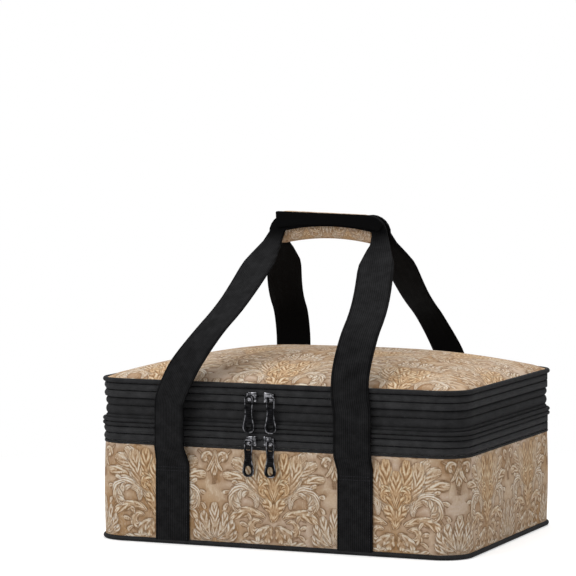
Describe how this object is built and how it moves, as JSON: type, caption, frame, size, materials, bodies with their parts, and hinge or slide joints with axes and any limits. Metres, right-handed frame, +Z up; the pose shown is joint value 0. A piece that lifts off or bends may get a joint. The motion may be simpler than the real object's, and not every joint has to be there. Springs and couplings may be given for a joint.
{
  "type": "casserole carrier",
  "caption": "Insulated rectangular carrier with zipped lower and upper compartments, a folding gusset, a crowned lid and webbing loops that meet in a padded grip.",
  "frame": {"origin": "on the floor, under the middle of the bag", "axes": "+X to the right along the long side, -Y towards the front wall with the zip pulls, +Z up"},
  "size_m": [0.4052, 0.3226, 0.3343],
  "materials": {
    "print_cloth": "matte",
    "black_cloth": "matte",
    "zip_tape": "matte",
    "foil_liner": "satin",
    "foam": "matte",
    "board": "matte",
    "webbing": "matte",
    "gunmetal": "satin"
  },
  "bodies": {
    "base": {"bottom_panel": "black_cloth", "bottom_piping": "black_cloth", "floor_foam": "foam", "base_board": "board", "lower_wall": "print_cloth", "lower_foam": "foam", "lower_liner": "foil_liner", "lower_binding": "black_cloth", "lower_zip_base_tape": "zip_tape", "deck_hinge_strip": "black_cloth", "front_left_strap_foot": "webbing", "front_right_strap_foot": "webbing", "rear_left_strap_foot": "webbing", "rear_right_strap_foot": "webbing"},
    "deck": {"lower_zip_deck_tape": "zip_tape", "deck_rear_band": "black_cloth", "deck_bead_lower": "black_cloth", "deck_bead_upper": "black_cloth", "divider_lower_liner": "foil_liner", "divider_board": "board", "divider_foam": "foam", "divider_upper_liner": "foil_liner", "expansion_gusset": "print_cloth"},
    "upper_ring": {"ring_band_lower": "black_cloth", "ring_band_upper": "black_cloth", "ring_foam": "foam", "ring_liner": "foil_liner", "upper_zip_ring_tape": "zip_tape", "lid_hinge_strip": "black_cloth"},
    "lid": {"upper_zip_lid_tape": "zip_tape", "lid_rear_band": "black_cloth", "lid_piping": "black_cloth", "lid_cover": "print_cloth", "lid_foam": "foam", "lid_liner": "foil_liner"},
    "front_risers": {"front_left_strap_riser": "webbing", "front_right_strap_riser": "webbing"},
    "front_lower_legs": {"front_left_strap_lower_leg": "webbing", "front_right_strap_lower_leg": "webbing"},
    "front_loop": {"front_left_strap_upper_leg": "webbing", "front_right_strap_upper_leg": "webbing", "front_grip_webbing": "webbing"},
    "rear_risers": {"rear_left_strap_riser": "webbing", "rear_right_strap_riser": "webbing"},
    "rear_lower_legs": {"rear_left_strap_lower_leg": "webbing", "rear_right_strap_lower_leg": "webbing"},
    "rear_loop": {"rear_left_strap_upper_leg": "webbing", "rear_right_strap_upper_leg": "webbing", "rear_grip_webbing": "webbing", "grip_wrap": "print_cloth"},
    "upper_left_slider": {"upper_left_slider": "gunmetal"},
    "upper_left_pull": {"upper_left_pull": "gunmetal"},
    "upper_right_slider": {"upper_right_slider": "gunmetal"},
    "upper_right_pull": {"upper_right_pull": "gunmetal"},
    "lower_left_slider": {"lower_left_slider": "gunmetal"},
    "lower_left_pull": {"lower_left_pull": "gunmetal"},
    "lower_right_slider": {"lower_right_slider": "gunmetal"},
    "lower_right_pull": {"lower_right_pull": "gunmetal"}
  },
  "joints": [
    {"name": "deck_hinge", "type": "hinge", "parent": "base", "child": "deck", "pos_m": [0, 0.15, 0.1107], "axis": [-1, 0, 0], "range_deg": [0, 60]},
    {"name": "expansion", "type": "slide", "parent": "deck", "child": "upper_ring", "axis": [0, 0, 1], "range_m": [0, 0.046], "deforming": ["expansion_gusset"]},
    {"name": "lid_hinge", "type": "hinge", "parent": "upper_ring", "child": "lid", "pos_m": [0, 0.15, 0.1552], "axis": [-1, 0, 0], "range_deg": [0, 95]},
    {"name": "front_strap_part_for_lift", "type": "slide", "parent": "base", "child": "front_risers", "axis": [0, -1, 0], "range_m": [0, 0.012]},
    {"name": "front_strap_part_for_lid", "type": "hinge", "parent": "front_risers", "child": "front_lower_legs", "pos_m": [0, -0.1599, 0.104], "axis": [1, 0, 0], "range_deg": [0, 86.5]},
    {"name": "front_strap_part_for_deck", "type": "hinge", "parent": "front_lower_legs", "child": "front_loop", "pos_m": [0, -0.1599, 0.14], "axis": [1, 0, 0], "range_deg": [0, 49]},
    {"name": "rear_strap_part_for_lift", "type": "slide", "parent": "base", "child": "rear_risers", "axis": [0, 1, 0], "range_m": [0, 0.012]},
    {"name": "rear_strap_part_for_deck", "type": "hinge", "parent": "rear_risers", "child": "rear_lower_legs", "pos_m": [0, 0.1599, 0.104], "axis": [-1, 0, 0], "range_deg": [0, 61]},
    {"name": "rear_strap_part_for_lid", "type": "hinge", "parent": "rear_lower_legs", "child": "rear_loop", "pos_m": [0, 0.1599, 0.14], "axis": [-1, 0, 0], "range_deg": [0, 67.5]},
    {"name": "upper_left_slider_travel", "type": "slide", "parent": "upper_ring", "child": "upper_left_slider", "axis": [-1, 0, 0], "range_m": [0, 0.06]},
    {"name": "upper_left_pull_swing", "type": "hinge", "parent": "upper_left_slider", "child": "upper_left_pull", "pos_m": [-0.026, -0.1548, 0.1552], "axis": [-1, 0, 0], "range_deg": [0, 110]},
    {"name": "upper_right_slider_travel", "type": "slide", "parent": "upper_ring", "child": "upper_right_slider", "axis": [1, 0, 0], "range_m": [0, 0.06]},
    {"name": "upper_right_pull_swing", "type": "hinge", "parent": "upper_right_slider", "child": "upper_right_pull", "pos_m": [-0.002, -0.1548, 0.1552], "axis": [-1, 0, 0], "range_deg": [0, 110]},
    {"name": "lower_left_slider_travel", "type": "slide", "parent": "base", "child": "lower_left_slider", "axis": [-1, 0, 0], "range_m": [0, 0.06]},
    {"name": "lower_left_pull_swing", "type": "hinge", "parent": "lower_left_slider", "child": "lower_left_pull", "pos_m": [-0.026, -0.1554, 0.1107], "axis": [-1, 0, 0], "range_deg": [0, 110]},
    {"name": "lower_right_slider_travel", "type": "slide", "parent": "base", "child": "lower_right_slider", "axis": [1, 0, 0], "range_m": [0, 0.06]},
    {"name": "lower_right_pull_swing", "type": "hinge", "parent": "lower_right_slider", "child": "lower_right_pull", "pos_m": [-0.002, -0.1554, 0.1107], "axis": [-1, 0, 0], "range_deg": [0, 110]}
  ],
  "couplings": [
    {"joint": "front_strap_part_for_lift", "follows": "expansion", "ratio": 0.25},
    {"joint": "front_strap_part_for_lid", "follows": "lid_hinge", "ratio": 0.9},
    {"joint": "front_strap_part_for_deck", "follows": "deck_hinge", "ratio": 0.8},
    {"joint": "rear_strap_part_for_lift", "follows": "expansion", "ratio": 0.25},
    {"joint": "rear_strap_part_for_deck", "follows": "deck_hinge", "ratio": 1},
    {"joint": "rear_strap_part_for_lid", "follows": "lid_hinge", "ratio": 0.7}
  ]
}
